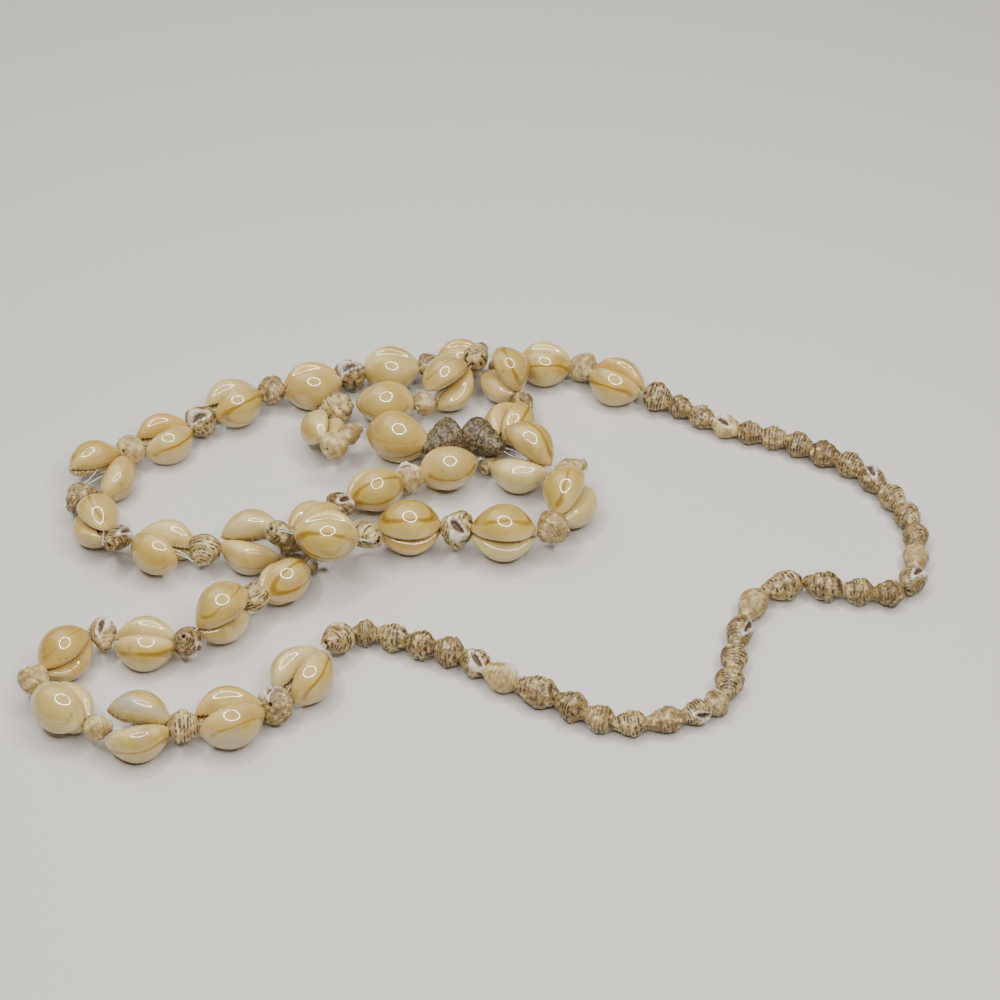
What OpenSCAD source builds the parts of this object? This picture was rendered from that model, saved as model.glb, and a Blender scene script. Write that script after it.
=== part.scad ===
// Cowrie shell necklace, laid out as one long closed loop on a table.
// Ring cowries sit in pairs, base to base, with a small spotted shell after each pair.
// The back of the loop is a string of small shells only. Two thin nylon strands hold it all.

/* [Cowries] */
// Length of a usual cowrie
cowrie_length = 19.5; // [16:0.5:24]
// Widest part of a cowrie, over its length
width_ratio = 0.67; // [0.6:0.01:0.78]
// Height from base to back, over its length
height_ratio = 0.475; // [0.44:0.01:0.54]
// How much fuller the wide end is than the narrow end
egg_skew = 0.12; // [0:0.01:0.2]
// Clearance between the two bases of a pair
base_gap = 0.16; // [0.12:0.02:0.4]
// Width of the long slit in the base
slit_width = 1.3; // [1:0.1:1.6]
// Depth of the slit at its middle
slit_depth = 2.2; // [2:0.1:2.6]

/* [Small shells] */
// Radius of the hole through a small shell
hole_radius = 1.3; // [1.2:0.05:1.4]
// Clearance from one shell's end to the next piece
end_gap = 0.25; // [0.15:0.05:0.5]
// Width of the mouth of a small shell
mouth_width = 1.1; // [0.8:0.1:1.4]

/* [Thread] */
// Thickness of one nylon strand
strand_thickness = 0.4; // [0.4:0.05:0.6]
// Half the space between the two strands in a small shell
strand_offset = 0.5; // [0.4:0.05:0.6]
// Sides of a strand
strand_sides = 5; // [5:1:8]

/* [Layout] */
// Shift that centres the lying loop, left to right
shift_x = 2.865; // [-20:0.001:20]
// Shift that centres the lying loop, front to back
shift_y = 21.185; // [-20:0.001:40]

/* [Hidden] */
// One row per cowrie pair, in order along the loop.
// Columns: x, y, lift above the table, heading of travel, roll, opening of the V
// (ahead if positive, behind if negative), pitch, length, radius of the small shell that follows
pairs = [
    [  39.5,   51.5, 0, 152,    0,   0,   0, 19.5, 3.9],
    [  15.5,   61.0, 0, 178,    8,   0,   0, 18.5, 3.0],
    [ -12.9,   63.7, 0, 184,   14,   0,   0, 17.5, 2.8],
    [ -36.8,   57.5, 0, 184,   12,   0,   0, 19.5, 4.2],
    [ -63.0,   48.8, 0, 199,   12,   0,   0, 20.0, 3.6],
    [ -88.7,   40.0, 0, 216,   12,  14,   0, 19.0, 4.2],
    [-110.0,   23.0, 0, 212,    0,  16,   0, 18.5, 3.7],
    [-128.0,    4.6, 0, 235,  -20,  42,   0, 18.5, 4.3],
    [-126.8,  -19.0, 0, 295,   66,   0,  14, 19.0, 3.0],
    [-104.6,  -29.4, 0, 333,  166,  25,   0, 19.0, 3.8],
    [ -77.0,  -28.5, 0, 356,   30,  20,   0, 19.5, 3.1],
    [ -53.0,  -35.5, 10.2,   2,  -20,   0, -10, 20.0, 3.6],
    [ -28.5,  -23.0, 0,   3,  -82,   0,   0, 20.5, 4.4],
    [   1.0,  -25.5, 0, 358,  -94,   0,   0, 20.5, 4.2],
    [  22.0,   -9.9, 0,  72, -118,  14,   0, 20.0, 2.6],
    [   7.0,    8.5, 0, 148,  -45,  32,   0, 20.5, 3.3],
    [ -33.1,   19.5, 0, 162,   55,   0,   0, 21.5, 2.6],
    [ -58.0,   24.4, 0, 100,   36,   0, -22, 17.2, 3.7],
    [ -38.2,   38.3, 0, 357,  -36,   0,   0, 20.0, 3.0],
    [ -17.2,   46.2, 0,  44,   68, -18,  14, 18.4, 2.6],
    [   1.4,   50.6, 0, 304,   72, -32, -14, 17.4, 2.8],
    [   3.4,   29.3, 0, 250,   22,   0,   0, 19.0, 3.0],
    [ -16.5,    6.3, 0, 202,   40,   0,   0, 19.5, 3.8],
    [ -40.0,   -4.5, 0, 210,   38, -10,   0, 19.0, 3.5],
    [ -58.3,  -18.8, 0, 222,   32, -14,   0, 17.8, 2.8],
    [ -65.5,  -44.5, 0, 228,   45,   0,   0, 18.0, 3.2],
    [ -82.8,  -61.0, 0, 227,   86, -20,   0, 19.0, 3.4],
    [-105.1,  -69.5, 0, 180,   -2,   0,   0, 19.0, 3.0],
    [-127.7,  -75.4, 0, 232,  -80,   0,   0, 18.5, 3.6],
    [-125.7,  -96.2, 0, 320,  -42,   0,   0, 20.0, 3.0],
    [-103.4, -103.3, 0,   1,   20, -24,   0, 19.2, 4.2],
    [ -77.5,  -99.0, 0,  20,   -8, -12,   0, 20.0, 4.1],
    [ -57.8,  -83.0, 0,  56,  -12, -16,  14, 19.0, 4.4]];

function place(i) = [pairs[i][0], pairs[i][1]];
function lift(i) = pairs[i][2];
function heading(i) = pairs[i][3];
function roll(i) = pairs[i][4];
function opening(i) = pairs[i][5];
function pitch(i) = pairs[i][6];
function size(i) = pairs[i][7] / cowrie_length;
function spacer_radius(i) = pairs[i][8];

// Where one shell of the back string meets the next: x, y, radius of the shell that follows
back = [
    [-45.0, -63.0, 3.7], [-37.5, -63.0, 4.3], [-28.0, -66.5, 3.8], [-20.0, -69.5, 4.7], [-11.0, -72.5, 4.0],
    [-4.5, -77.5, 4.2], [4.5, -84.0, 4.7], [16.5, -89.5, 4.4], [24.5, -95.0, 3.6], [32.5, -98.5, 3.9],
    [42.0, -98.5, 3.8], [53.0, -96.0, 3.8], [60.0, -93.0, 3.7], [65.5, -89.0, 4.3], [68.5, -78.5, 3.6],
    [70.0, -69.0, 3.9], [73.5, -57.0, 4.1], [80.0, -46.0, 4.6], [93.0, -41.5, 4.5], [104.5, -45.0, 3.7],
    [114.0, -46.0, 4.0], [124.5, -46.5, 4.2], [128.5, -36.5, 3.8], [130.0, -26.0, 3.6], [131.0, -17.0, 4.2],
    [128.0, -8.5, 3.9], [123.5, 0.5, 4.2], [117.5, 9.0, 4.1], [111.0, 14.5, 4.4], [102.0, 19.5, 4.2],
    [95.0, 24.0, 3.8], [87.0, 27.0, 3.8], [79.5, 29.5, 4.0], [71.5, 33.0, 3.9], [64.0, 39.0, 3.4],
    [57.5, 43.0, 4.4]];

// Meeting point of the two dark shells: x, y, height, then their radius
dark_middle = [-12.0, 23.4, 9.3];
dark_radius = 5.0;
// The pair that the dark shells follow, counted from 0
dark_after = 15;
// The pairs whose link to the next pair is crossed by another stretch of the loop
low_links = [1, 21, 24];
// A gap longer than this takes two shells
longest_shell = 15;

count = len(pairs);
egg_radius = cowrie_length * width_ratio / 2;
egg_height = cowrie_length * height_ratio - egg_radius;
hinge_x = cowrie_length / 2 - 1;
slit_radius = (pow(0.385 * cowrie_length, 2) + slit_depth * slit_depth) / (2 * slit_depth);
bore_radius = 0.5;
bore_height = 1.05;

function pair_name(i) = str("cowrie_pair_", i < 9 ? "0" : "", i + 1);

// Turning a point about one axis
function turn_x(a) = [[1, 0, 0], [0, cos(a), -sin(a)], [0, sin(a), cos(a)]];
function turn_y(a) = [[cos(a), 0, sin(a)], [0, 1, 0], [-sin(a), 0, cos(a)]];
function turn_z(a) = [[cos(a), -sin(a), 0], [sin(a), cos(a), 0], [0, 0, 1]];
function unit(v) = v / norm(v);

// Egg outline as [distance along, radius]; the narrow end is at the start
egg_steps = 16;
function egg_point(a) = [-cowrie_length / 2 * cos(a), egg_radius * sin(a) * (1 - egg_skew * cos(a))];
egg = [for (k = [0 : egg_steps]) egg_point(180 * k / egg_steps)];

// How far the egg reaches from its middle along a direction that makes angle a with its axis
function egg_reach(a) = max([for (p = egg) p[0] * cos(a) + p[1] * abs(sin(a))]);

// A pair opens towards +X in its own frame; this turns it round where it opens behind
function behind(i) = opening(i) < 0;
function splay(i) = abs(opening(i)) / 2;
function pair_turn(i) = turn_z(heading(i)) * turn_y(-pitch(i)) * turn_x(roll(i)) * turn_z(behind(i) ? 180 : 0);

// Place in the pair of a point of one shell: p along, p across, p above the base; side is 1 or -1
function in_pair(i, side, p) =
    turn_z(side * splay(i)) * [p[0] * size(i) + hinge_x * size(i), side * p[2] * size(i), -side * p[1] * size(i)]
    + [-hinge_x * size(i), side * base_gap / 2, 0];

// Lowest point of one shell below the pair's middle
function shell_low(i, side) =
    let (c = pair_turn(i) * in_pair(i, side, [0, 0, egg_height]),
         u = pair_turn(i) * turn_z(side * splay(i)) * [1, 0, 0],
         r = sqrt(1 - u[2] * u[2]))
    min([for (p = egg) c[2] + size(i) * (p[0] * u[2] - p[1] * r)]);
function pair_height(i) = lift(i) - min(shell_low(i, 1), shell_low(i, -1));
function pair_middle(i) = [place(i)[0], place(i)[1], pair_height(i)];
function in_layout(i, p) = pair_middle(i) + pair_turn(i) * p;

// Outline of a small shell as [distance from its pointed end, radius]; the dips are the seams
// between its whorls, and both ends are ground flat
function shell_outline(r, l) = [
    [0, 2.2], [0.03 * l, max(2.35, 0.62 * r)], [0.12 * l, max(2.35, 0.68 * r)],
    [0.15 * l, max(2.3, 0.66 * r)], [0.25 * l, 0.83 * r], [0.31 * l, 0.86 * r], [0.34 * l, 0.84 * r],
    [0.45 * l, 0.96 * r], [0.56 * l, r], [0.68 * l, 0.97 * r], [0.82 * l, 0.86 * r],
    [0.93 * l, max(2.35, 0.70 * r)], [l, 2.2]];

// Distance from the hinge to the start of a small shell of radius r that nests in an open V
function nest(r, l, a) = max([for (p = shell_outline(r, l)) (end_gap + p[1] * cos(a)) / sin(a) - p[0]]);

// Ends of a pair on its own axis, clear of the tips
function hinge_reach(i) =
    let (a = splay(i))
    (hinge_x + egg_reach(a) - hinge_x * cos(a) + egg_height * sin(a)) * size(i) + end_gap;
function far_reach(i) =
    let (a = splay(i))
    (-hinge_x + hinge_x * cos(a) - egg_height * sin(a) + egg_reach(a)) * size(i) + end_gap;
function reach_in(i) = behind(i) ? far_reach(i) : hinge_reach(i);
function reach_out(i) = behind(i) ? hinge_reach(i) : far_reach(i);
function across(i) = pair_turn(i) * [0, behind(i) ? -1 : 1, 0];
function travel(i) = turn_z(heading(i)) * turn_y(-pitch(i)) * [1, 0, 0];

// Ends of the small shells beside pair i, found in two passes: the room at a bend depends on the
// direction of the link, and that direction on the room
function leave(i, pass) =
    pair_middle(i) + travel(i) * (pass == 0 ? reach_out(i)
        : shell_start(i, reach_out(i), opens_ahead(i), link(i + 1, pass - 1),
                      i == count - 1 ? 4 : link_radius(i + 1)));
function arrive(i, pass) =
    pair_middle(i) - travel(i) * (pass == 0 ? reach_in(i)
        : shell_start(i, reach_in(i), opens_behind(i), link(i, pass - 1), link_radius(i)));
function link(i, pass) =
    unit((i == count ? back_start() : arrive(i, pass)) - (i == 0 ? back_end() : leave(i - 1, pass)));

// Radius of the small shell before pair i
function link_radius(i) =
    i == 0 ? back[len(back) - 1][2] : sags(i - 1) ? 1 : i == dark_after + 1 ? 4.2 : spacer_radius(i - 1);
function back_start() = [back[0][0], back[0][1], back[0][2]];
function back_end() = let (b = back[len(back) - 1]) [b[0], b[1], b[2]];
function sags(i) = len([for (k = low_links) if (k == i) k]) > 0;

// Room that a shell of radius r needs past the tips when the thread bends by angle a there
function bend_room(r, a) =
    max([for (p = shell_outline(r, 8.5)) (1.25 * p[1] + 0.5) * sin(a) - p[0] * cos(a) + 0.08]);
function angle_between(u, v) = acos(max(-1, min(1, u * v)));

// Where the small shell starts, along the pair's axis; in an open V it nests between the cowries
function shell_start(i, reach, opens, d, r) =
    let (turn = angle_between(travel(i), d), past = reach + max(0, bend_room(r, turn)),
         free = splay(i) - asin(abs(across(i) * d)) - 1)
    opens && free > 5 && turn < 40 ? min(past, max(nest(r, 8.5, free) - hinge_x * size(i), reach - 5)) : past;
function opens_ahead(i) = !behind(i) && splay(i) >= 6;
function opens_behind(i) = behind(i) && splay(i) >= 6;
ends_in = [for (i = [0 : count - 1]) arrive(i, 2)];
ends_out = [for (i = [0 : count - 1]) leave(i, 2)];
function end_in(i) = ends_in[i];
function end_out(i) = ends_out[i];

// One cowrie: an egg cut flat along its base, with its slit and the hole drilled for the strand
module cowrie(through) {
    difference() {
        translate([0, 0, egg_height])
            rotate([0, 90, 0])
                rotate_extrude($fn = 48)
                    polygon([for (p = egg) [p[1], p[0]]]);
        translate([-cowrie_length / 2 - 1, -egg_radius - 1, -egg_radius])
            cube([cowrie_length + 2, 2 * egg_radius + 2, egg_radius]);
        translate([0, 0, slit_depth - slit_radius])
            rotate([90, 0, 0])
                cylinder(h = slit_width, r = slit_radius, center = true, $fn = 96);
        translate([-cowrie_length / 2 - 1, 0, bore_height])
            rotate([0, 90, 0])
                cylinder(h = through ? cowrie_length + 2 : cowrie_length / 2, r = bore_radius, $fn = 24);
    }
}

// Two cowries base to base, hinged at their narrow ends
module cowrie_pair(i) {
    color([0.93, 0.87, 0.70])
        translate(pair_middle(i))
            rotate([0, 0, heading(i)]) rotate([0, -pitch(i), 0]) rotate([roll(i), 0, 0])
                rotate([0, 0, behind(i) ? 180 : 0])
                    for (side = [1, -1])
                        translate([-hinge_x * size(i), side * base_gap / 2, 0])
                            rotate([0, 0, side * splay(i)])
                                translate([hinge_x * size(i), 0, 0])
                                    rotate([-90 * side, 0, 0])
                                        scale(size(i)) cowrie(splay(i) < 6);
}

// The hole through a small shell, worn wider at both ends
function hole_outline(l) = [
    [hole_radius + 0.67, l], [hole_radius + 0.1, l - 1.8],
    [hole_radius + 0.1, 1.8], [hole_radius + 0.67, 0]];

// One small shell from point a to point b, its pointed end at a; the mouth is turned by an angle
module small_shell(a, b, r, mouth) {
    d = b - a;
    l = norm(d);
    translate(a)
        rotate([0, acos(d[2] / l), atan2(d[1], d[0])])
            rotate([0, 0, mouth])
                difference() {
                    rotate_extrude($fn = 32)
                        polygon(concat([for (p = shell_outline(r, l)) [p[1], p[0]]],
                                       hole_outline(l)));
                    translate([r + 0.2, 0, 0.66 * l])
                        rotate([90, 0, 0])
                            cylinder(h = mouth_width, r = 0.22 * l, center = true, $fn = 32);
                }
}

// Point a moved a distance t towards point b
function trim(a, b, t) = a + unit(b - a) * t;

// Stations of the thread between pair i and the next: one stretch per shell.
// A link that another stretch crosses lies down on the table.
function gap_stations(i) =
    let (a = end_out(i), b = end_in(i + 1), d = b - a, l = norm(d), z = spacer_radius(i) + 0.05,
         level = unit([d[0], d[1], 0]), half = (norm([d[0], d[1]]) - 2.5) / 2, mid = (a + b) / 2)
    i == dark_after ? [a, dark_middle, b]
    : sags(i) ? [a, [mid[0], mid[1], z] - level * half, [mid[0], mid[1], z] + level * half, b]
    : l > longest_shell ? [a, (a + b) / 2, b]
    : [a, b];

// The small shells after pair i; the pointed end nests in the V where there is one
module spacer(i) {
    s = gap_stations(i);
    r = spacer_radius(i);
    mouth = 90 + 137 * i;
    if (sags(i)) small_shell(s[1], s[2], r, mouth);
    else if (len(s) == 3) {
        small_shell(s[0], trim(s[1], s[0], end_gap / 2), r, mouth);
        small_shell(trim(s[1], s[2], end_gap / 2), s[2], r, mouth);
    }
    else if (opens_behind(i + 1)) small_shell(s[1], s[0], r, mouth);
    else small_shell(s[0], s[1], r, mouth);
}
module spacer_shells() {
    color([0.82, 0.76, 0.62])
        for (i = [0 : count - 2])
            if (i != dark_after) spacer(i);
}

// Two larger dark shells, wide ends together
function dark_outline(r, l) = [
    [0, 2.1], [0.05 * l, 2.4], [0.30 * l, 0.60 * r], [0.33 * l, 0.58 * r], [0.60 * l, 0.88 * r],
    [0.63 * l, 0.87 * r], [0.82 * l, r], [0.90 * l, 0.97 * r], [0.97 * l, 0.80 * r], [l, 0.50 * r]];
module dark_shell(a, b) {
    d = b - a;
    l = norm(d);
    translate(a)
        rotate([0, acos(d[2] / l), atan2(d[1], d[0])])
            rotate_extrude($fn = 40)
                polygon(concat([for (p = dark_outline(dark_radius, l)) [p[1], p[0]]],
                               hole_outline(l)));
}
module dark_one(k) {
    tip = k == 0 ? end_out(dark_after) : end_in(dark_after + 1);
    fold = angle_between(unit(dark_middle - end_out(dark_after)), unit(end_in(dark_after + 1) - dark_middle));
    dark_shell(trim(tip, dark_middle, 0.35),
               trim(dark_middle, tip, end_gap / 2 + 0.75 * dark_radius * tan(fold / 2)));
}
module dark_shells() {
    color([0.36, 0.31, 0.25])
        for (k = [0, 1]) dark_one(k);
}

// The back string: each shell spans two neighbouring meeting points
back_points = concat(
    [end_out(count - 1)],
    [for (k = [0 : len(back) - 1]) [back[k][0], back[k][1], max(back[max(k - 1, 0)][2], back[k][2]) + 0.1]],
    [end_in(0)]);
back_count = len(back_points) - 1;
function back_radius(k) = k == 0 ? 4.0 : back[k - 1][2];
function bend(p, q, r) = angle_between(unit(q - p), unit(r - q));
function back_trim(k) =
    k == 0 || k == back_count ? 0
    : end_gap / 2 + 2.3 * tan(bend(back_points[k - 1], back_points[k], back_points[k + 1]) / 2);
module back_shell(k) {
    small_shell(trim(back_points[k], back_points[k + 1], back_trim(k)),
                trim(back_points[k + 1], back_points[k], back_trim(k + 1)),
                back_radius(k), 137 * k);
}
module back_string() {
    color([0.80, 0.74, 0.63])
        for (k = [0 : back_count - 1]) back_shell(k);
}

// Route of one strand; side is 1 for the shells on the left of travel, -1 for the right
function travel_side(i, side) = behind(i) ? -side : side;
function shell_at(i, side, p) = in_layout(i, in_pair(i, travel_side(i, side), p));
function pair_route(i, side) =
    let (tip = shell_at(i, side, [-cowrie_length / 2, 0, bore_height]),
         inner = shell_at(i, side, [-2.5, 0, bore_height]),
         slit = in_layout(i, [2.5 * size(i), travel_side(i, side) * (strand_offset + 0.1), 0]),
         far = shell_at(i, side, [cowrie_length / 2, 0, bore_height]),
         list = splay(i) < 6 ? [tip, far] : [tip, inner, slit])
    behind(i) ? [for (k = [len(list) - 1 : -1 : 0]) list[k]] : list;
function square_to(v, d) = unit(v - (v * d) * d);

// The side on which the strands lie at a link: across this pair, leaning to the next one's
function lean(i, next) = across(i) + 0.6 * across(max(0, min(count - 1, next)));
// Where a strand enters a shell; d points out of the hole
function seat(i, side, d, next) =
    side * 1.3 * strand_offset * square_to(lean(i, next), d)
    + 1.25 * sin(angle_between(travel(i), d)) * d;
// Where a strand leaves a pair before it turns into a shell that stands clear of the tips
function turning(i, side, reach, start, way) =
    start < reach ? []
    : [pair_middle(i) + way * (reach + 0.15) * travel(i) + side * 1.3 * strand_offset * across(i)];
// Past a right angle the strand also goes round the rim of the shell; d points out of its hole
function round_rim(i, side, tip, d, way) =
    let (bias = lean(i, i + way),
         v = pair_middle(i) + way * travel(i) * (way > 0 ? reach_out(i) : reach_in(i)) - tip)
    way * travel(i) * d < -0.03 || norm(cross(v, d)) < 2.7 ? []
    : let (e = square_to(v, d), q = cross(d, e))
      [tip + 0.7 * d + 2.7 * e + side * (bias * q < 0 ? -0.4 : 0.4) * q];
function turn_in(i, side) = concat(
    round_rim(i, side, end_in(i), way_in(i), -1),
    turning(i, side, reach_in(i), norm(pair_middle(i) - end_in(i)), -1));
function turn_out(i, side) = concat(
    turning(i, side, reach_out(i), norm(end_out(i) - pair_middle(i)), 1),
    round_rim(i, side, end_out(i), -way_out(i), 1));
function way_in(i) =
    let (s = i == 0 ? [back_points[back_count - 1], back_points[back_count]] : gap_stations(i - 1), n = len(s))
    unit(s[n - 1] - s[n - 2]);
function way_out(i) =
    let (s = i == count - 1 ? [back_points[0], back_points[1]] : gap_stations(i))
    unit(s[1] - s[0]);
function inner_stations(i, side) =
    let (s = gap_stations(i))
    [for (k = [1 : len(s) - 1]) if (k < len(s) - 1)
        s[k] + side * strand_offset * square_to(across(i) + across(i + 1), unit(s[k + 1] - s[k - 1]))];
function side_step(p, q, side) = side * strand_offset * unit(cross([0, 0, 1], q - p));
function strand_route(side) = concat(
    [for (i = [0 : count - 1])
        each concat([end_in(i) + seat(i, side, way_in(i), i - 1)], turn_in(i, side),
                    pair_route(i, side), turn_out(i, side),
                    [end_out(i) + seat(i, side, -way_out(i), i + 1)],
                    i == count - 1 ? [] : inner_stations(i, side))],
    [for (k = [1 : back_count - 1])
        back_points[k] + side_step(back_points[k - 1], back_points[k + 1], side)]);

// A closed tube along a route, with a ring of points square to the route at each corner
module tube(route, r) {
    n = len(route);
    m = strand_sides;
    rings = [for (k = [0 : n - 1])
        let (t = unit(unit(route[(k + 1) % n] - route[k]) + unit(route[k] - route[(k + n - 1) % n])),
             w = unit(cross([0, 0, 1], t)),
             v = cross(t, w))
        each [for (j = [0 : m - 1]) route[k] + r * (cos(360 * j / m) * w + sin(360 * j / m) * v)]];
    faces = [for (k = [0 : n - 1], j = [0 : m - 1])
        let (a = k * m + j, b = k * m + (j + 1) % m,
             c = ((k + 1) % n) * m + j, d = ((k + 1) % n) * m + (j + 1) % m)
        each [[a, d, b], [a, c, d]]];
    polyhedron(points = rings, faces = faces, convexity = 10);
}
module thread() {
    color([0.93, 0.94, 0.92])
        for (side = [1, -1]) tube(strand_route(side), strand_thickness / 2);
}

translate([shift_x, shift_y, 0]) {
    for (i = [0 : count - 1])
        cowrie_pair(i);
    spacer_shells();
    dark_shells();
    back_string();
    thread();
}
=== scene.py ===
import math

import bpy
import numpy as np
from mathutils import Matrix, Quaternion, Vector


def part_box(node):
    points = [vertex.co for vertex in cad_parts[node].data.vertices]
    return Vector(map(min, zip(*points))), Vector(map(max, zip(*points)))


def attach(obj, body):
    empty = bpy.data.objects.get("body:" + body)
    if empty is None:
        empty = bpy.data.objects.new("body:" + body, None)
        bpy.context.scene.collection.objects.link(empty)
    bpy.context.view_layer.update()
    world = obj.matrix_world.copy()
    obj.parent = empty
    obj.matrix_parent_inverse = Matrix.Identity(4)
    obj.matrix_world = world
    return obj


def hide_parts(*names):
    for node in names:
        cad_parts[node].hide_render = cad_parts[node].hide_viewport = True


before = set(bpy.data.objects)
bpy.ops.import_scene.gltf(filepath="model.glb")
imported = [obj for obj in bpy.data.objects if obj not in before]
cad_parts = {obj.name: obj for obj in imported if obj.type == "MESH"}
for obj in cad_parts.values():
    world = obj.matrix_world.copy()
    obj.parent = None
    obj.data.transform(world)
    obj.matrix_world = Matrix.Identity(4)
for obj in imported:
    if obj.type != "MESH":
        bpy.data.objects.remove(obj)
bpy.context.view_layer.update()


# The table top: a plain pale sheet, with the camera where the photo was taken from, a little
# over forty degrees above the table.
MM = 0.001
middle = Vector((2.865 * MM, 21.185 * MM, 0))
camera_back = 506.8 * MM
camera_up = 472.6 * MM

bpy.ops.object.select_all(action="DESELECT")
bpy.ops.mesh.primitive_plane_add(size=6, location=middle)
table = bpy.context.object
table.name = "table"
bpy.ops.object.transform_apply(location=True)

camera_data = bpy.data.cameras.new("photo_camera")
camera_data.sensor_width = 36
camera_data.lens = 77.3
camera_data.clip_start = 0.01
camera = bpy.data.objects.new("photo_camera", camera_data)
bpy.context.scene.collection.objects.link(camera)
camera.location = middle + Vector((0, -camera_back, camera_up))
camera.rotation_euler = (middle - camera.location).to_track_quat("-Z", "Y").to_euler()
bpy.context.scene.camera = camera


class Paint:
    """One socket of a material's node tree. Sums and products of these add Math nodes."""

    def __init__(self, tree, socket=None):
        self.tree, self.socket = tree, socket

    def node(self, kind, settings={}, sockets={}, out=0):
        made = self.tree.nodes.new("ShaderNode" + kind)
        for name, value in settings.items():
            setattr(made, name, value)
        for name, value in sockets.items():
            if isinstance(value, Paint):
                self.tree.links.new(value.socket, made.inputs[name])
            elif isinstance(value, tuple) and made.inputs[name].type == "RGBA":
                made.inputs[name].default_value = (*value, 1)
            else:
                made.inputs[name].default_value = value
        return Paint(self.tree, made.outputs[out] if made.outputs else None)

    def math(self, operation, *values):
        return self.node("Math", {"operation": operation}, dict(enumerate((self, *values))))

    def reflected(self, operation, value):
        return self.node("Math", {"operation": operation}, {0: value, 1: self})

    def __add__(self, other):
        return self.math("ADD", other)

    def __radd__(self, other):
        return self.math("ADD", other)

    def __sub__(self, other):
        return self.math("SUBTRACT", other)

    def __rsub__(self, other):
        return self.reflected("SUBTRACT", other)

    def __mul__(self, other):
        return self.math("MULTIPLY", other)

    def __rmul__(self, other):
        return self.math("MULTIPLY", other)

    def __truediv__(self, other):
        return self.math("DIVIDE", other)

    def __pow__(self, other):
        return self.math("POWER", other)

    def between(self, low, high):
        """0 below low, 1 above high, and smooth from one to the other."""
        return self.node("MapRange", {"interpolation_type": "SMOOTHSTEP"},
                         {"Value": self, "From Min": low, "From Max": high})

    def mix(self, under, over):
        """Colour under, covered by colour over as far as this mask says."""
        return self.node("Mix", {"data_type": "RGBA"}, {0: self, 6: under, 7: over}, out=2)

    def noise(self, scale, detail):
        """Soft noise of about scale blotches a metre."""
        return self.node("TexNoise", {"noise_dimensions": "3D"},
                         {"Vector": self, "Scale": scale, "Detail": detail})


def paint_for(name):
    """A new material with an empty node tree, and the start of its paint."""
    material = bpy.data.materials.new(name)
    material.use_nodes = True
    material.node_tree.nodes.clear()
    return material, Paint(material.node_tree)


def finish_paint(start, **sockets):
    """The surface shader, with its sockets named with _ for each space."""
    named = {name.replace("_", " "): value for name, value in sockets.items()}
    surface = start.node("BsdfPrincipled", {}, named)
    start.node("OutputMaterial", {}, {"Surface": surface})


pale, start = paint_for("pale_sheet")
finish_paint(start, Base_Color=(0.58, 0.565, 0.54), Roughness=0.85)
table.data.materials.append(pale)


# The light: a ring lamp over the table, on the camera's side, whose glow shows as a small O on
# each glossy shell. Sixteen flat lamps edge to edge make the ring. A soft lamp fills from behind.
lamp_count = 16
lamp_ring = 0.29
lamp_width = 0.034
lamp_place = middle + Vector((0.03, -0.13, 0.60))
lamp_aim = middle + Vector((-0.02, 0.0, 0.0))
ring_turn = (lamp_aim - lamp_place).to_track_quat("-Z", "Y")
for k in range(lamp_count):
    angle = 2 * math.pi * k / lamp_count
    lamp_data = bpy.data.lights.new(f"ring_lamp_{k + 1:02d}", "AREA")
    lamp_data.shape = "RECTANGLE"
    lamp_data.size = lamp_width
    lamp_data.size_y = 2 * (lamp_ring + lamp_width / 2) * math.tan(math.pi / lamp_count)
    lamp_data.energy = 0.60
    lamp_data.color = (1.0, 0.97, 0.92)
    lamp = bpy.data.objects.new(lamp_data.name, lamp_data)
    bpy.context.scene.collection.objects.link(lamp)
    out = Vector((math.cos(angle), math.sin(angle), 0))
    lamp.location = lamp_place + ring_turn @ (out * lamp_ring)
    lamp.rotation_mode = "QUATERNION"
    lamp.rotation_quaternion = ring_turn @ Quaternion((0, 0, 1), angle)

soft_data = bpy.data.lights.new("soft_lamp", "AREA")
soft_data.size = 0.9
soft_data.energy = 3.4
soft = bpy.data.objects.new("soft_lamp", soft_data)
bpy.context.scene.collection.objects.link(soft)
soft.location = middle + Vector((-0.5, 0.5, 0.9))
soft.rotation_euler = (middle - soft.location).to_track_quat("-Z", "Y").to_euler()

world = bpy.data.worlds.new("studio")
world.use_nodes = True
world.node_tree.nodes["Background"].inputs["Color"].default_value = (1.0, 0.98, 0.95, 1)
world.node_tree.nodes["Background"].inputs["Strength"].default_value = 0.12
bpy.context.scene.world = world


# The cowries: ring cowries, polished by the living snail to a cream porcelain, with a gold ring
# round the back and a toothed slit along the base. Each pair is laid base to base on the thread.
cowrie_length = 19.5
cowrie_half_width = 6.53
cowrie_height = 9.26
same_corner = 2e-6
least_area = 1e-9


def loose_solids(node):
    """The corners and triangles of each separate solid of a CAD node, read from a copy of it."""
    bpy.ops.object.select_all(action="DESELECT")
    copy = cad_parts[node].copy()
    copy.data = copy.data.copy()
    copy.parent = None
    bpy.context.scene.collection.objects.link(copy)
    copy.select_set(True)
    bpy.context.view_layer.objects.active = copy
    bpy.ops.object.mode_set(mode="EDIT")
    bpy.ops.mesh.select_all(action="SELECT")
    bpy.ops.mesh.remove_doubles(threshold=same_corner)
    bpy.ops.mesh.separate(type="LOOSE")
    bpy.ops.object.mode_set(mode="OBJECT")
    found = []
    for piece in list(bpy.context.selected_objects):
        corners = np.array([v.co for v in piece.data.vertices]) / MM
        piece.data.calc_loop_triangles()
        triangles = np.array([t.vertices for t in piece.data.loop_triangles])
        found.append((corners, triangles))
        mesh = piece.data
        bpy.data.objects.remove(piece)
        bpy.data.meshes.remove(mesh)
    return found


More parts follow.
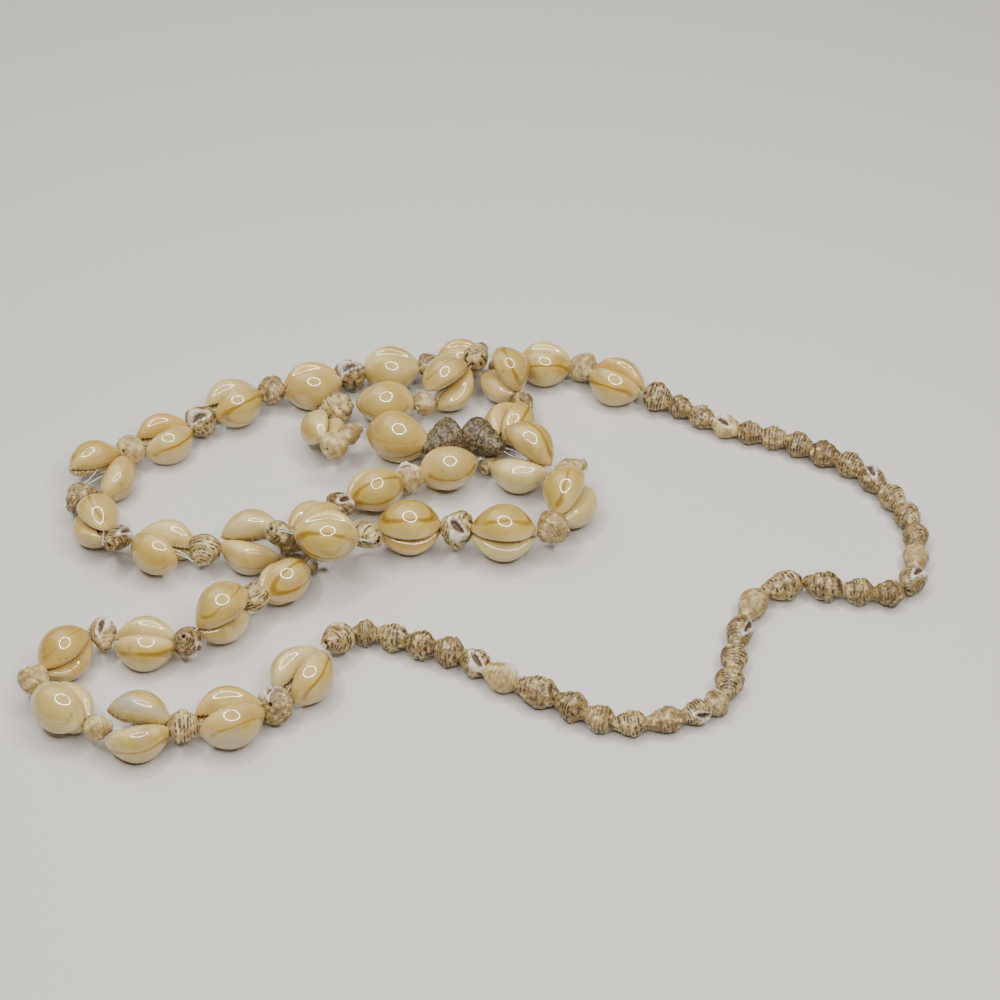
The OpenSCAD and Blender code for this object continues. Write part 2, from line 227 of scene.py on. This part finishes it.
def flat_faces(corners, triangles):
    """The directions that most of the solid's triangles face, the one with most area first."""
    most = 60
    a, b, c = (corners[triangles[:, k]] for k in range(3))
    facing = np.cross(b - a, c - a)
    area = np.linalg.norm(facing, axis=1) / 2
    real = area > least_area
    facing = facing[real] / (2 * area[real, None])
    group = np.unique(np.round(facing, 2), axis=0, return_inverse=True)[1].ravel()
    total = np.bincount(group, area[real])
    return [facing[group == k].mean(axis=0) for k in np.argsort(-total)[:most]]


def lie_of_cowrie(corners, triangles):
    """Where a cowrie of the frame lies: middle of its base, directions along, across and up
    from the base towards the back, and its length. Along runs from the narrow to the wide end."""
    down = flat_faces(corners, triangles)[0]
    up = -down / np.linalg.norm(down)
    a, b, c = (corners[triangles[:, k]] for k in range(3))
    area = np.linalg.norm(np.cross(b - a, c - a), axis=1)
    centre = (a + b + c) / 3
    mean = (centre * area[:, None]).sum(axis=0) / area.sum()
    flat = centre - mean
    flat = flat - np.outer(flat @ up, up)
    spread = (flat * area[:, None]).T @ flat
    along = np.linalg.eigh(spread)[1][:, 2]
    reach = corners @ along
    if mean @ along < (reach.max() + reach.min()) / 2:
        along = -along
        reach = -reach
    across = np.cross(up, along)
    base = (corners @ up).min()
    place = along * (reach.max() + reach.min()) / 2 + across * (mean @ across) + up * base
    return place, along, across, up, reach.max() - reach.min()


def cowrie_surface():
    """Points of one cowrie as a grid of rings along its length, and which of them are in the
    slit. The base lies on z = 0 and the back is up."""
    u = np.linspace(-1, 1, 67)[1:-1]
    s = 0.72 * u + 0.28 * np.sin(u * math.pi / 2)
    dome = np.linspace(0, math.pi, 33)
    half = np.array([0.93, 0.83, 0.72, 0.60, 0.48, 0.37, 0.28, 0.21, 0.155, 0.115, 0.08, 0.04])
    base = np.concatenate([-half, [0.0], half[::-1]])
    x = s * cowrie_length / 2
    width = cowrie_half_width * (1 - s ** 2) ** 0.66 * (1 + 0.12 * s) * 1.03
    top = 0.96 * cowrie_height * (1 - np.abs(s) ** 2.1) ** 0.72
    lip = 0.36 * top
    rise = np.abs(s) ** 6
    tooth_every = 1.3
    slit_depth = 2.0
    rings = []
    slit = []
    for k in range(len(s)):
        y_dome = width[k] * np.cos(dome)
        z_dome = lip[k] + (top[k] - lip[k]) * np.sin(dome) ** 1.04
        y_dome *= 1 + 0.03 * np.exp(-((z_dome - lip[k]) / 1.3) ** 2)
        y_base = width[k] * base
        z_base = lip[k] * (1 - (1 - np.abs(base) ** 2.1) ** (1 / 2.1))
        bend = 0.45 * math.sin(2.4 * s[k])
        reach = np.abs(y_base - bend)
        gap = (0.62 + 0.22 * s[k]) * min(1, 6 * (1.02 - abs(s[k])))
        tooth = 0.5 + 0.5 * math.cos(2 * math.pi * x[k] / tooth_every)
        beside = np.clip((reach - gap) / 0.3, 0, 1) * np.clip((3.2 - reach) / 2.2, 0, 1)
        z_base = z_base - 0.22 * tooth * beside + 0.16 * beside
        deep = np.clip(1 - (reach / (gap * (1.18 - 0.34 * tooth))) ** 3, 0, 1)
        z_base = z_base + slit_depth * deep * min(1, 5 * (1.04 - abs(s[k])))
        y = np.concatenate([y_dome, y_base])
        z = np.concatenate([z_dome, z_base]) + rise[k]
        rings.append(np.stack([np.full(len(y), x[k]), y, z], axis=1))
        slit.append(np.concatenate([np.zeros(len(y_dome)), deep]))
    return np.array(rings), np.array(slit)


def skin_faces(rings, around, closed):
    """Quads between neighbouring rings of a grid; closed joins the last ring to the first."""
    faces = []
    for i in range(rings if closed else rings - 1):
        for j in range(around):
            a, b = i * around + j, i * around + (j + 1) % around
            c, d = ((i + 1) % rings) * around + (j + 1) % around, ((i + 1) % rings) * around + j
            faces.append((a, b, c, d))
    return faces


def shell_piece(name, points, faces, marks, material):
    """One mesh at the origin, with each list of marks as a float attribute of its points."""
    mesh = bpy.data.meshes.new(name)
    mesh.from_pydata((np.asarray(points) * MM).tolist(), [], faces)
    for mark_name, values in marks.items():
        attribute = mesh.attributes.new(mark_name, "FLOAT", "POINT")
        attribute.data.foreach_set("value", np.asarray(values, float))
    mesh.materials.append(material)
    piece = bpy.data.objects.new(name, mesh)
    bpy.context.scene.collection.objects.link(piece)
    bpy.ops.object.select_all(action="DESELECT")
    piece.select_set(True)
    bpy.context.view_layer.objects.active = piece
    bpy.ops.object.mode_set(mode="EDIT")
    bpy.ops.mesh.select_all(action="SELECT")
    bpy.ops.mesh.normals_make_consistent(inside=False)
    bpy.ops.object.mode_set(mode="OBJECT")
    bpy.ops.object.shade_smooth()
    return piece


def mark(start, name):
    """The named attribute of the piece, as paint."""
    return start.node("Attribute", {"attribute_name": name}, out=2)


flank_cream = (0.64, 0.505, 0.19)
back_cream = (0.475, 0.335, 0.057)
ochre_cloud = (0.37, 0.225, 0.025)
milky_cloud = (0.69, 0.575, 0.28)
olive_band = (0.40, 0.30, 0.12)
apricot_base = (0.53, 0.31, 0.06)
honey_back = (0.41, 0.27, 0.055)
worn_grey = (0.37, 0.35, 0.305)
gold_glow = (0.52, 0.36, 0.04)
gold_line = (0.33, 0.185, 0.003)
gold_edge = (0.20, 0.105, 0.004)
pit_brown = (0.24, 0.15, 0.05)
slit_shade = (0.16, 0.10, 0.06)
freckle = (0.42, 0.29, 0.08)
ring_half_length = 0.40
ring_half_width = 0.195

porcelain, start = paint_for("cowrie_porcelain")
spot = start.node("TexCoord", out=3)
along = mark(start, "along")
side = mark(start, "side")
height = mark(start, "height")
ring = mark(start, "ring")
near = mark(start, "near")
warm = mark(start, "warm")
cool = mark(start, "cool")
slit = mark(start, "slit")
cloud = spot.noise(120, 3)
fine = spot.noise(700, 3)
blotch = spot.noise(75, 2)
wander = (cloud - 0.5) * 0.22 + (blotch - 0.5) * 0.40
oval = ((along / ring_half_length) ** 2 + (side / ring_half_width) ** 2) ** 0.5 + wander
crease = (oval - 1).math("ABSOLUTE")
shown = 0.12 + 0.80 * ring.between(0.90, 1.05) + 0.88 * near.between(-0.20, 0.25)
broken = (spot.noise(85, 1) * 2.2 - 0.42).between(0.0, 0.7) * shown.between(0.0, 1.0)
glow = (1 - crease.between(0.05, 0.18 + 0.20 * ring)) * height.between(0.22, 0.40) * broken
line = 1 - crease.between(0.02 + 0.045 * ring, 0.06 + 0.08 * ring)
line = line * height.between(0.25, 0.38) * broken
inside = (1 - oval.between(0.70, 1.0)) * height.between(0.3, 0.5)
dorsum = (height + 0.5 * (cloud - 0.5)).between(0.22, 0.62)
cream = dorsum.mix(flank_cream, back_cream)
cream = (cloud.between(0.42, 0.66) * 0.75).mix(cream, ochre_cloud)
cream = ((1 - warm) * 0.50 * blotch.between(0.3, 0.6)).mix(cream, milky_cloud)
bands = (along * 34 + 3 * cloud).math("SINE").between(-0.2, 1.0)
cream = (bands * 0.22 * height.between(0.3, 0.6)).mix(cream, olive_band)
cream = (warm * height.between(1.05, 0.1) * 0.9).mix(cream, apricot_base)
cream = (inside * (0.25 + 0.60 * warm) * blotch.between(0.38, 0.58)).mix(cream, honey_back)
cream = (cool * spot.noise(95, 1).between(0.50, 0.66)).mix(cream, worn_grey)
cream = (glow * ring * 0.75).mix(cream, gold_glow)
cream = (line * (0.45 + 0.9 * ring)).mix(cream, gold_line)
edge = (1 - crease.between(0.0, 0.05)) * height.between(0.25, 0.38) * broken
cream = (edge * ring * 0.7).mix(cream, gold_edge)
pits = spot.noise(420, 1).between(0.70, 0.76) * 0.5
cream = pits.mix(cream, pit_brown)
# Painted shade: the slit is painted dark brown for the shadowed hollow inside the shell, since the
# groove here is shallow.
cream = (slit * 0.85).mix(cream, slit_shade)
cream = (fine.between(0.52, 0.72) * 0.34).mix(cream, freckle)
grain = start.node("Bump", {},
                   {"Strength": 0.15, "Distance": 0.0004, "Height": cloud + 0.25 * fine})
finish_paint(start, Base_Color=cream, Roughness=0.42 + 0.12 * fine, Normal=grain,
             Coat_Weight=1.0, Coat_Roughness=0.02, Coat_IOR=1.7)

# One row per pair, in order along the loop, the shell further back first in each two columns.
# Columns: gold of the ring, then warmth towards the base, then greyish cast. From a gold of about
# one on, the ring shows all round, and otherwise on the camera's side.
cowrie_looks = [
    ((0.2, 0.8), (0.8, 0.2), (0.0, 0.0)),
    ((0.2, 0.8), (0.1, 0.2), (0.0, 0.0)),
    ((0.1, 0.3), (1.0, 0.3), (0.0, 0.0)),
    ((0.0, 0.2), (0.0, 0.0), (0.2, 0.0)),
    ((0.2, 0.8), (0.7, 0.3), (0.0, 0.0)),
    ((0.2, 1.1), (0.1, 0.5), (0.0, 0.0)),
    ((0.3, 0.8), (0.9, 0.2), (0.0, 0.0)),
    ((1.1, 0.3), (0.4, 0.2), (0.0, 0.0)),
    ((0.8, 0.3), (0.2, 0.6), (0.0, 0.0)),
    ((0.2, 0.3), (0.2, 0.7), (0.0, 0.0)),
    ((0.2, 0.3), (0.1, 0.3), (0.2, 0.0)),
    ((0.2, 1.2), (0.4, 0.4), (0.0, 0.0)),
    ((0.2, 1.2), (0.8, 0.4), (0.0, 0.0)),
    ((1.2, 0.0), (0.4, 0.0), (0.0, 0.0)),
    ((0.9, 0.4), (0.5, 0.2), (0.0, 0.0)),
    ((0.8, 0.0), (0.4, 0.0), (0.0, 0.2)),
    ((0.2, 0.0), (0.2, 0.6), (0.2, 0.0)),
    ((0.0, 0.1), (0.0, 0.4), (0.0, 0.0)),
    ((0.1, 0.2), (0.7, 0.3), (0.0, 0.0)),
    ((0.3, 0.8), (0.3, 0.3), (0.0, 0.0)),
    ((0.2, 1.1), (0.3, 0.5), (0.0, 0.0)),
    ((1.0, 1.0), (0.4, 0.3), (0.0, 0.0)),
    ((0.3, 0.5), (0.8, 0.3), (0.0, 0.0)),
    ((0.2, 1.0), (0.3, 0.6), (0.0, 0.0)),
    ((0.2, 0.6), (0.5, 0.4), (0.0, 0.0)),
    ((0.8, 1.2), (0.4, 0.3), (0.0, 0.0)),
    ((0.2, 0.35), (0.1, 0.6), (0.0, 0.0)),
    ((0.1, 1.3), (0.1, 0.1), (0.0, 0.0)),
    ((0.2, 0.1), (1.0, 0.4), (0.0, 0.0)),
    ((0.2, 0.2), (0.3, 0.2), (0.0, 0.0)),
    ((0.1, 0.7), (0.4, 0.0), (0.75, 0.2)),
    ((0.2, 0.3), (0.5, 0.5), (0.1, 0.3)),
    ((0.7, 0.7), (0.1, 0.3), (0.3, 0.0))]

cowrie_rings, cowrie_slit = cowrie_surface()
ring_count, ring_points = cowrie_rings.shape[:2]
cowrie_points = cowrie_rings.reshape(-1, 3)
tip_height = 1.1
tips = np.array([[-cowrie_length / 2, 0, tip_height], [cowrie_length / 2, 0, tip_height]])
cowrie_points = np.concatenate([cowrie_points, tips])
cowrie_faces = skin_faces(ring_count, ring_points, False)
first, last = ring_count * ring_points, ring_count * ring_points + 1
for j in range(ring_points):
    cowrie_faces.append((first, (j + 1) % ring_points, j))
    at = (ring_count - 1) * ring_points
    cowrie_faces.append((last, at + j, at + (j + 1) % ring_points))
cowrie_slit = np.concatenate([cowrie_slit.ravel(), [0, 0]])

# Splayed pairs show a fuller base, so theirs bulges with the width that they are open by. One
# shell of the eighth pair is rolled away, so its ring is painted nearer to the camera's side.
belly_share = 0.36
most_belly = 2.6
belly_height = 3.4
camera_side = np.array([0.0, -1.2, 0.17])
rolled_away = (8, 0)
ring_shift = 0.17

for number, (gold, warmth, grey) in enumerate(cowrie_looks, 1):
    node = f"cowrie_pair_{number:02d}"
    solids = sorted(loose_solids(node), key=lambda solid: -solid[0][:, 1].max())
    points, faces = [], []
    marks = {}
    lies = [lie_of_cowrie(*solid) for solid in solids]
    open_by = np.linalg.norm(lies[0][0] - lies[1][0])
    belly = min(most_belly, belly_share * open_by)
    for k, (place, ahead, across, up, length) in enumerate(lies):
        size = length / cowrie_length
        faces += [tuple(p + k * len(cowrie_points) for p in face) for face in cowrie_faces]
        x, y, z = cowrie_points.T
        bulge = belly * np.clip(1 - z / belly_height, 0, 1) * (1 - (2 * x / cowrie_length) ** 2)
        full = np.stack([x, y, z - bulge], axis=1)
        points.append(place + size * (full @ np.array([ahead, across, up])))
        facing = np.sign(across @ camera_side)
        shift = ring_shift * facing if (number, k) == rolled_away else 0.0
        of_points = {"along": x / cowrie_length, "side": y / cowrie_length - shift,
                     "height": z / cowrie_height, "ring": np.full(len(x), gold[k]),
                     "near": facing * y / cowrie_half_width,
                     "warm": np.full(len(x), warmth[k]), "cool": np.full(len(x), grey[k]),
                     "slit": cowrie_slit}
        for name, values in of_points.items():
            marks.setdefault(name, []).append(values)
    pair = shell_piece(f"cowries_{number:02d}", np.concatenate(points), faces,
                       {name: np.concatenate(values) for name, values in marks.items()}, porcelain)
    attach(pair, "root")
    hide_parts(node)


# The small shells: snails about a centimetre long, ground off at both ends and drilled through,
# cream with brown spots, dashes or bands. They sit between the pairs of cowries, mostly singly.
def lie_of_snail(corners, triangles):
    """Where a small shell of the frame lies: its pointed end, its wide end and its radius.
    Its axis is square to the two rims that it is ground off to."""
    close = 0.01

    def rims(facing):
        level = corners @ facing
        return corners[level < level.min() + close], corners[level > level.max() - close]

    facing = max((f / np.linalg.norm(f) for f in flat_faces(corners, triangles)),
                 key=lambda f: min(len(rim) for rim in rims(f)))
    side = np.cross(facing, [0.3, 0.5, 0.8])
    side = side / np.linalg.norm(side)
    basis = np.array([side, np.cross(facing, side), facing])
    ends = []
    for rim in rims(facing):
        spread = rim @ basis.T
        ends.append((spread.max(axis=0) + spread.min(axis=0)) / 2 @ basis)
    out = (corners - ends[0]) @ basis.T
    length = np.linalg.norm(ends[1] - ends[0])
    radius = np.hypot(out[:, 0], out[:, 1])
    low, high = radius[out[:, 2] < 0.3 * length].max(), radius[out[:, 2] > 0.7 * length].max()
    return (*(ends if low < high else ends[::-1]), radius.max())


def snail_surface(form, length, radius, mouth, ribs, knobs, turns, seed):
    """Points of a small shell round the z axis, pointed end at 0, with its mouth at an angle,
    and for each point its whorl, its depth in the mouth and how far it is on the lip."""
    around = 44
    nose = 0.5 / length
    nose_radii = [0.85, 1.3, 1.7]
    thinnest = 1.9
    mouth_at = 0.66
    rib_count = 15
    rib_depth = 0.013
    knob_count = 17
    knob_rows = 8
    knob_depth = 0.016
    shoulder_rise = 0.055
    seam_depth = 0.085
    steps = np.concatenate([[-nose, -0.8 * nose, -0.4 * nose], np.linspace(0.0, 1.0, 38),
                            [1 + 0.4 * nose, 1 + 0.8 * nose, 1 + nose]])
    if form == "top":
        outline_levels = [0, 0.10, 0.25, 0.42, 0.60, 0.78, 0.92, 0.98, 1]
        outline_radii = [0.30, 0.40, 0.56, 0.72, 0.87, 0.99, 1.05, 1.0, 0.86]
    else:
        outline_levels = [0, 0.08, 0.18, 0.30, 0.43, 0.56, 0.68, 0.80, 0.90, 1]
        outline_radii = [0.40, 0.51, 0.64, 0.79, 0.92, 1, 1.0, 0.89, 0.69, 0.47]
    body = radius * np.interp(steps, outline_levels, outline_radii)
    body = np.pad(np.maximum(body, thinnest), 1, mode="edge")
    body = np.convolve(body, [0.2, 0.6, 0.2], "valid")
    body[:3] = nose_radii
    body[-3:] = nose_radii[::-1]
    angle = 2 * math.pi * np.arange(around) / around
    level, bearing = np.meshgrid(steps, angle, indexing="ij")
    reach = np.repeat(body[:, None], around, axis=1)
    whorl = turns * np.clip(1 - level, 0, None) ** 1.45 + bearing / (2 * math.pi) + 0.37 * seed
    part = whorl - np.floor(whorl)
    inner = np.clip(level / 0.08, 0, 1) * np.clip((1 - level) / 0.06, 0, 1)
    seam = np.exp(-(np.minimum(part, 1 - part) / 0.10) ** 2)
    shoulder = np.exp(-((part - 0.72) / 0.20) ** 2)
    reach = reach * (1 + inner * (shoulder_rise * shoulder - seam_depth * seam))
    reach = reach * (1 + inner * ribs * rib_depth * np.cos(rib_count * bearing + 2 * whorl))
    knob = np.cos(knob_count * bearing + 9 * level) * np.cos(2 * math.pi * knob_rows * level)
    reach = reach * (1 + inner * knobs * knob_depth * knob)
    turn = (bearing - mouth + math.pi) % (2 * math.pi) - math.pi - 0.9 * (level - mouth_at)
    oval = np.sqrt(((level - mouth_at) / 0.30) ** 2 + (turn / 0.27) ** 2)
    hollow = np.clip(1 - oval ** 3, 0, 1)
    lip = np.exp(-((oval - 1.22) / 0.20) ** 2)
    lip = np.maximum(lip, np.exp(-((turn - 0.52) / 0.24) ** 2 - ((level - 0.74) / 0.24) ** 4))
    reach = reach - hollow * min(0.30 * radius, radius - 1.6) + lip * 0.07 * radius
    outer = np.stack([reach * np.cos(bearing), reach * np.sin(bearing), level * length], axis=2)
    bore_z = np.array([length + 0.4, length - 0.4, 0.4, -0.4])
    bore_r = np.array([0.60, 0.50, 0.50, 0.60])
    bore = np.stack([bore_r[:, None] * np.cos(angle), bore_r[:, None] * np.sin(angle),
                     np.repeat(bore_z[:, None], around, axis=1)], axis=2)
    points = np.concatenate([outer, bore]).reshape(-1, 3)
    rest = len(bore_z) * around
    # The mouth mark holds the depth in the mouth, and a small share in the bore; the paint puts
    # shade there.
    filled = {"whorl": (whorl, 0), "mouth": (hollow, 0.3), "lip": (lip, 0)}
    marks = {name: np.concatenate([grid.ravel(), np.full(rest, fill)])
             for name, (grid, fill) in filled.items()}
    return points, skin_faces(len(steps) + len(bore_z), around, True), marks


pale_ground = (0.64, 0.50, 0.235)
deep_ground = (0.35, 0.24, 0.085)
tan_ground = (0.245, 0.157, 0.052)
dark_brown = (0.018, 0.011, 0.006)
light_brown = (0.075, 0.044, 0.02)
slate_dark = (0.042, 0.026, 0.012)
slate_light = (0.20, 0.15, 0.075)
lip_white = (0.84, 0.80, 0.74)
mouth_shade = (0.07, 0.035, 0.022)
three_rows = 18.85

snail_paint, start = paint_for("small_shell_calcite")
spot = start.node("TexCoord", out=3)
whorl = mark(start, "whorl")
mouth = mark(start, "mouth")
lip = mark(start, "lip")
tan = mark(start, "tan")
dots = mark(start, "dots")
dashes = mark(start, "dashes")
bands = mark(start, "bands")
flecked = mark(start, "flecked")
dark = mark(start, "dark")
cloud = spot.noise(260, 3)
fine = spot.noise(900, 3)
rough = spot.noise(520, 4)
chalk = (0.6 * cloud + 0.4 * rough).between(0.38, 0.62).mix(pale_ground, deep_ground)
chalk = (tan * rough.between(0.28, 0.52)).mix(chalk, tan_ground)
brown = fine.mix(dark_brown, light_brown)
rows = (whorl * three_rows + 2.5 * cloud).math("SINE").between(-0.6, 0.3)
spots = spot.noise(620, 2).between(0.49, 0.54) * (0.25 + 0.75 * rows)
stripes = ((whorl * three_rows).math("SINE") + (cloud - 0.5) * 3.0).between(0.25, 0.75)
stripes = stripes * rough.between(0.38, 0.5)
dash_rows = (whorl * three_rows + 2.5 * cloud).math("SINE").between(-0.1, 0.5)
dash_rows = dash_rows * spot.noise(560, 1).between(0.47, 0.54)
specks = spot.noise(1150, 1).between(0.54, 0.62)
chalk = (spots * dots).mix(chalk, brown)
chalk = (dash_rows * dashes).mix(chalk, brown)
chalk = (stripes * bands * 0.9).mix(chalk, brown)
chalk = (specks * flecked * 0.8).mix(chalk, brown)
knobby = spot.noise(1150, 2)
slate = (0.65 * knobby + 0.35 * rough).between(0.42, 0.60)
chalk = dark.mix(chalk, slate.mix(slate_dark, slate_light))
chalk = (lip * 0.75 * (1 - dark)).mix(chalk, lip_white)
# Painted shade: the hollow of the mouth, and a little of the bore, is painted dark brown for the
# shade inside the shell.
chalk = mouth.between(0.15, 0.8).mix(chalk, mouth_shade)
pits = start.node("Bump", {},
                  {"Strength": 0.25, "Distance": 0.0005, "Height": rough + 0.4 * fine})
finish_paint(start, Base_Color=chalk, Roughness=0.42 + 0.2 * fine, Normal=pits,
             Coat_Weight=0.12, Coat_Roughness=0.2)

# Kinds of small shell. Columns: tan, dots, dashes, bands, flecked, ribs, knobs, turns.
kinds = {
    "plain": (0.1, 0.3, 0.0, 0.0, 0.3, 0.2, 0.0, 3.0),
    "white": (0.0, 0.3, 0.1, 0.0, 0.3, 0.7, 0.0, 3.2),
    "dots": (0.65, 1.0, 0.2, 0.0, 0.7, 0.2, 0.2, 3.0),
    "ivory": (0.0, 0.0, 0.0, 0.0, 0.0, 0.0, 0.0, 0.0),
    "blotched": (0.0, 0.6, 0.3, 0.0, 0.2, 0.9, 0.0, 2.4),
    "dashes": (0.1, 0.3, 1.0, 0.0, 0.4, 0.5, 0.1, 2.6),
    "bands": (0.6, 0.6, 0.0, 0.9, 0.5, 0.3, 0.0, 3.0),
    "flecked": (0.8, 0.8, 0.4, 0.0, 1.0, 0.2, 0.2, 3.0),
    "ribs": (0.65, 0.7, 0.0, 0.2, 0.6, 1.2, 0.7, 3.2),
    "tan": (0.5, 0.35, 0.0, 0.1, 0.4, 0.4, 0.2, 3.0),
}


def string_of_snails(name, lies, looks, nest, form="snail", dark=0.0):
    """One piece of many small shells: lies are their ends and radius, looks their kind, the way
    their mouth faces, in degrees from the camera's side round the shell, and how far their whorls
    swell out past the frame's. Each end nests up to nest millimetres among its neighbours, and
    of a top shell the tip alone. Each ground is a little paler or darker than the last one's."""
    usual_length = 9.4
    least_nest = 0.3
    golden_part = 0.618
    above_table = 0.1
    to_camera = np.array([0.0, -0.73, 0.68])
    pattern_names = ("tan", "dots", "dashes", "bands", "flecked", "dark")
    points, faces, count = [], [], 0
    marks = {}
    for k, ((tip, end, radius), (kind, facing, swell)) in enumerate(zip(lies, looks)):
        ground, *pattern, ribs, knobs, turns = kinds[kind]
        ground *= 0.40 + 1.1 * ((golden_part * k) % 1)
        axis = end - tip
        length = np.linalg.norm(axis)
        axis = axis / length
        if form == "top":
            tip, length = tip - nest * axis, length + nest
        else:
            sunk = float(np.clip((usual_length - length) / 2, least_nest, nest))
            tip, length = tip - sunk * axis, length + 2 * sunk
        radius = min(radius * swell, (tip + 0.6 * length * axis)[2] - above_table)
        front = to_camera - axis * (to_camera @ axis)
        front = front / np.linalg.norm(front)
        beside = np.cross(axis, front)
        made, skin, made_marks = snail_surface(form, length, radius, math.radians(facing),
                                               ribs, knobs, turns, k)
        points.append(tip + made @ np.array([front, beside, axis]))
        faces += [tuple(p + count for p in face) for face in skin]
        count += len(made)
        for mark_name, value in zip(pattern_names, (ground, *pattern, dark)):
            made_marks[mark_name] = np.full(len(made), value)
        for mark_name, values in made_marks.items():
            marks.setdefault(mark_name, []).append(values)
    piece = shell_piece(name, np.concatenate(points), faces,
                        {key: np.concatenate(values) for key, values in marks.items()}, snail_paint)
    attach(piece, "root")
    return piece


def middle_of(node):
    """The middle of a CAD node's box, in millimetres."""
    low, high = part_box(node)
    return np.array(low + high) / 2 / MM


pair_places = [middle_of(f"cowrie_pair_{k:02d}") for k in range(1, len(cowrie_looks) + 1)]


def link_of(lie):
    """Which pair of cowries a small shell follows, counted from 1."""
    centre = (lie[0] + lie[1]) / 2
    far = [np.linalg.norm(centre - a) + np.linalg.norm(centre - b)
           for a, b in zip(pair_places, pair_places[1:])]
    return int(np.argmin(far)) + 1


# One row per shell, in order along the loop: its kind, the way its mouth faces, and its swell.
# The links after the eleventh and the seventeenth pair hold two shells each.
spacer_looks = [
    ("tan", 150, 1.35), ("plain", 180, 1.35), ("bands", 120, 1.4), ("dots", 20, 1.35),
    ("ribs", 160, 1.35), ("dots", 10, 1.3), ("white", 150, 1.4), ("ribs", 180, 1.3),
    ("dots", 20, 1.25), ("dashes", 200, 1.35), ("bands", 170, 1.2), ("ribs", 170, 1.3),
    ("dashes", 180, 1.2), ("dots", -10, 1.4), ("tan", 170, 1.3), ("tan", 180, 1.3),
    ("ivory", 180, 1.75), ("tan", 180, 1.3), ("blotched", 190, 1.4), ("plain", 180, 1.4),
    ("dashes", 200, 1.6), ("ribs", 180, 1.5), ("plain", 180, 1.3), ("plain", 60, 1.3),
    ("dots", 10, 1.4), ("tan", 180, 1.35), ("dashes", 150, 1.4), ("dots", -30, 1.35),
    ("tan", 10, 1.35), ("plain", 180, 1.35), ("white", 200, 1.3), ("dashes", 180, 1.15),
    ("ribs", 120, 1.35)]
spacer_lies = [lie_of_snail(*solid) for solid in loose_solids("spacer_shells")]
spacer_lies.sort(key=lambda lie: (link_of(lie), lie[0][0]))
spacers = string_of_snails("small_shells", spacer_lies, spacer_looks, 2.2)
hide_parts("spacer_shells")


# The back string: small shells only, cream with brown dots and bands, ground off and drilled like
# the others and strung mouth to tip. It lies on the nape when the necklace is worn.
back_lies = [lie_of_snail(*solid) for solid in loose_solids("back_string")]
chain = [min(range(len(back_lies)),
             key=lambda k: np.linalg.norm(back_lies[k][0] - pair_places[-1]))]
while len(chain) < len(back_lies):
    tail = sum(back_lies[chain[-1]][:2]) / 2
    left = [k for k in range(len(back_lies)) if k not in chain]
    chain.append(min(left, key=lambda k: np.linalg.norm(sum(back_lies[k][:2]) / 2 - tail)))
back_order = ("dots bands dots dots flecked dots white flecked dots bands dots ribs dots "
              "bands dots dots flecked tan dots dots flecked flecked bands tan dots dots "
              "bands flecked dots flecked dots bands dots white flecked flecked dots").split()
back_mouths = [180, 110, 200, 100, 160, -20, 250, 170, 150, 95, 180, 160, 20, 190, 120, 150, 30,
               200, 170, 100, 110, 180, 0, 150, 200, 95, 160, 30, 190, 170, 110, 150, 180, 20,
               120, 160, 200]
back_swell = 1.15
back_looks = [(kind, facing, back_swell) for kind, facing in zip(back_order, back_mouths)]
back = string_of_snails("back_string_shells", [back_lies[k] for k in chain], back_looks, 0.9)
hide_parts("back_string")


# The dark shells: two heavier top snails, dark brown and knobbly. They are drilled through from
# end to end, and strung wide ends together between the sixteenth and the seventeenth pair.
dark_lies = [lie_of_snail(*solid) for solid in loose_solids("dark_shells")]
dark_looks = 2 * [("ribs", 180, 1.25)]
dark_pair = string_of_snails("dark_top_shells", dark_lies, dark_looks, 4.0, form="top", dark=1.0)
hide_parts("dark_shells")


# The thread: clear nylon line, in two strands that run side by side through every shell as one
# closed loop. It is the frame's own line, with its corners merged and rounded.
bpy.ops.object.select_all(action="DESELECT")
line_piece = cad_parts["thread"].copy()
line_piece.data = line_piece.data.copy()
line_piece.name = "nylon_line"
line_piece.parent = None
for key in list(line_piece.keys()):
    del line_piece[key]
bpy.context.scene.collection.objects.link(line_piece)
line_piece.select_set(True)
bpy.context.view_layer.objects.active = line_piece
bpy.ops.object.mode_set(mode="EDIT")
bpy.ops.mesh.select_all(action="SELECT")
bpy.ops.mesh.remove_doubles(threshold=same_corner)
bpy.ops.mesh.tris_convert_to_quads()
bpy.ops.object.mode_set(mode="OBJECT")
rounding = line_piece.modifiers.new("rounding", "SUBSURF")
rounding.levels = rounding.render_levels = 1
bpy.ops.object.modifier_apply(modifier="rounding")
bpy.ops.object.shade_smooth()
nylon, start = paint_for("clear_nylon")
haze = start.node("TexCoord", out=3).noise(300, 1)
finish_paint(start, Base_Color=haze.mix((0.82, 0.83, 0.82), (0.93, 0.93, 0.90)), Roughness=0.22,
             Transmission_Weight=0.45, IOR=1.5)
line_piece.data.materials.clear()
line_piece.data.materials.append(nylon)
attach(line_piece, "root")
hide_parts("thread")
